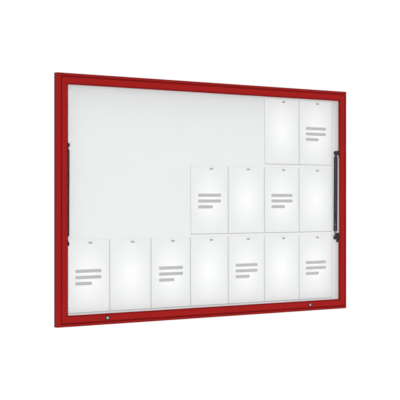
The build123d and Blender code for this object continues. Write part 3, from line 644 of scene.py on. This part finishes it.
def paper(name, bars):
    """Paper with a block of printed bars, each given by its right end and its height."""
    material, tree, shader = new_material(name)
    stock = placed(tree, paper_stock, paper_tones)
    colour = stock["Colour"]
    place = node(tree, "ShaderNodeTexCoord").outputs["Generated"]
    for end, height in bars:
        values = {
            "Place": place,
            "Left": bar_start,
            "Right": end,
            "Height": height,
            "Half Width": bar_half_width,
        }
        colour = mixed(tree, placed(tree, printed_bar, values)["Mask"], colour, print_grey)
    bump = node(tree, "ShaderNodeBump", {"Height": stock["Height"], "Distance": fibre_depth})
    tree.links.new(colour, shader.inputs["Base Color"])
    tree.links.new(bump.outputs[0], shader.inputs["Normal"])
    shader.inputs["Roughness"].default_value = 0.75
    shader.inputs["Specular IOR Level"].default_value = 0.1
    return material


plain_paper = paper("Plain paper", [])
bar_block = [(long_bar_end, 0.57), (long_bar_end, 0.485), (short_bar_end, 0.40)]
printed_paper = paper("Printed paper", bar_block)
draws = random.Random(sheet_seed)
for row, start in enumerate(row_starts):
    for column in range(start, column_count):
        left = sheet_low.x + column * column_pitch
        bottom = sheet_low.z + row * row_pitch
        draw = [draws.uniform(least_lift, 1.0) for _ in range(3)]
        sheet = hang_sheet(f"paper_sheet_{row + 1}_{column + 1}", left, bottom, draw)
        printed = (column - row) % 2 == 0
        sheet.data.materials.append(printed_paper if printed else plain_paper)
        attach(sheet, "case")
        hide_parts("paper_sheets")

# Magnets: small bars with round ends, one at the head of each sheet, in a grey moulded cap
# that holds the sheet against the steel panel.
cap_grey = (0.42, 0.42, 0.43, 1.0)
cap_worn = (0.46, 0.46, 0.47, 1.0)
# painted shade: the darker grey laid in the cap's corners
cap_corner_shade = (0.24, 0.24, 0.245, 1.0)
cap_plastic = coated(
    "Magnet cap",
    (cap_grey, cap_worn, cap_corner_shade),
    peel=(2500.0, 0.00002),
    roughness=0.45,
    gloss=0.2,
    wear=0.15,
    grime_and_shade=0.15,
)
dress(["sheet_magnets"], cap_plastic)

# Stage: a pale matt floor well below the board, out of the photo's view, which fades into
# the white surround towards its rim.
floor_drop = 0.85
floor_radius = 2.6
floor_grey = (0.9, 0.9, 0.9, 1.0)
floor_fade_start, floor_fade_end = 0.55 * floor_radius, 0.98 * floor_radius
floor_mesh = bmesh.new()
bmesh.ops.create_circle(floor_mesh, cap_ends=True, segments=96, radius=floor_radius)
floor_data = bpy.data.meshes.new("floor")
floor_mesh.to_mesh(floor_data)
floor_mesh.free()
floor = bpy.data.objects.new("floor", floor_data)
floor.location = (0.0, 0.0, cad_box[0].z - floor_drop)
bpy.context.scene.collection.objects.link(floor)
floor_paint, tree, shader = new_material("Floor")
shader.inputs["Base Color"].default_value = floor_grey
shader.inputs["Roughness"].default_value = 0.9
shader.inputs["Specular IOR Level"].default_value = 0.0
away = node(tree, "ShaderNodeVectorMath", {0: on_piece(tree)}, operation="LENGTH").outputs["Value"]
fading = spread(tree, away, floor_fade_start, floor_fade_end, 0.0, 1.0)
clear = node(tree, "ShaderNodeBsdfTransparent")
both = node(tree, "ShaderNodeMixShader", {0: fading, 1: shader.outputs[0], 2: clear.outputs[0]})
tree.links.new(both.outputs[0], tree.nodes["Material Output"].inputs["Surface"])
floor_data.materials.append(floor_paint)

# Camera: level with the middle of the board and to its left, with a long lens, fitted to the
# board's outline in the photo.
camera_place = Vector((-3.784, -4.676, 0.0))
camera_way = Vector((0.62373, 0.78164, 0.0))
camera_data = bpy.data.cameras.new("Camera")
camera_data.sensor_width = 36.0
camera_data.lens = 124.45
camera = bpy.data.objects.new("Camera", camera_data)
camera.location = camera_place
camera.rotation_mode = "QUATERNION"
camera.rotation_quaternion = camera_way.to_track_quat("-Z", "Y")
bpy.context.scene.collection.objects.link(camera)
bpy.context.scene.camera = camera
bpy.context.scene.view_settings.view_transform = "Standard"

# Light: a white surround, dimmer as light than it looks, an even key far behind the camera on
# its own line, so that the frame hides its shadows, and a weaker sun for the board's back.
white = (1.0, 1.0, 1.0, 1.0)
fill_strength = 0.42
key_light, key_size = 2.42, 0.35
key_reach, key_rise = 1.5, 0.08
back_light, back_spread = 1.3, math.radians(30.0)
back_place = Vector((2.0, 4.5, 2.5))
surround = bpy.data.worlds.new("Surround")
surround.use_nodes = True
tree = surround.node_tree
backdrop = node(tree, "ShaderNodeBackground", {"Color": white, "Strength": 1.0})
fill = node(tree, "ShaderNodeBackground", {"Color": white, "Strength": fill_strength})
path = node(tree, "ShaderNodeLightPath").outputs
mirrored = maths(tree, "MAXIMUM", path["Is Glossy Ray"], path["Is Transmission Ray"])
seen = maths(tree, "MAXIMUM", path["Is Camera Ray"], mirrored)
both = node(tree, "ShaderNodeMixShader", {0: seen, 1: fill.outputs[0], 2: backdrop.outputs[0]})
tree.links.new(both.outputs[0], tree.nodes["World Output"].inputs["Surface"])
bpy.context.scene.world = surround


def placed_lamp(name, kind, place, strength):
    """A lamp of this kind at this place, turned to the middle of the board."""
    data = bpy.data.lights.new(name, kind)
    data.energy = strength
    lamp = bpy.data.objects.new(name, data)
    lamp.location = place
    lamp.rotation_mode = "QUATERNION"
    lamp.rotation_quaternion = (-place).to_track_quat("-Z", "Y")
    bpy.context.scene.collection.objects.link(lamp)
    return data


key_place = camera_place * key_reach + Vector((0.0, 0.0, key_rise))
key = placed_lamp("Key lamp", "POINT", key_place, 4 * math.pi * key_light)
key.shadow_soft_size = key_size
key.use_nodes = True
tree = key.node_tree
even = node(tree, "ShaderNodeLightFalloff", {"Strength": 1.0}).outputs["Constant"]
run = node(tree, "ShaderNodeLightPath").outputs["Ray Length"]
evened = maths(tree, "MULTIPLY", even, maths(tree, "DIVIDE", run, key_place.length))
tree.links.new(evened, tree.nodes["Emission"].inputs["Strength"])
back = placed_lamp("Back lamp", "SUN", back_place, back_light)
back.angle = back_spread
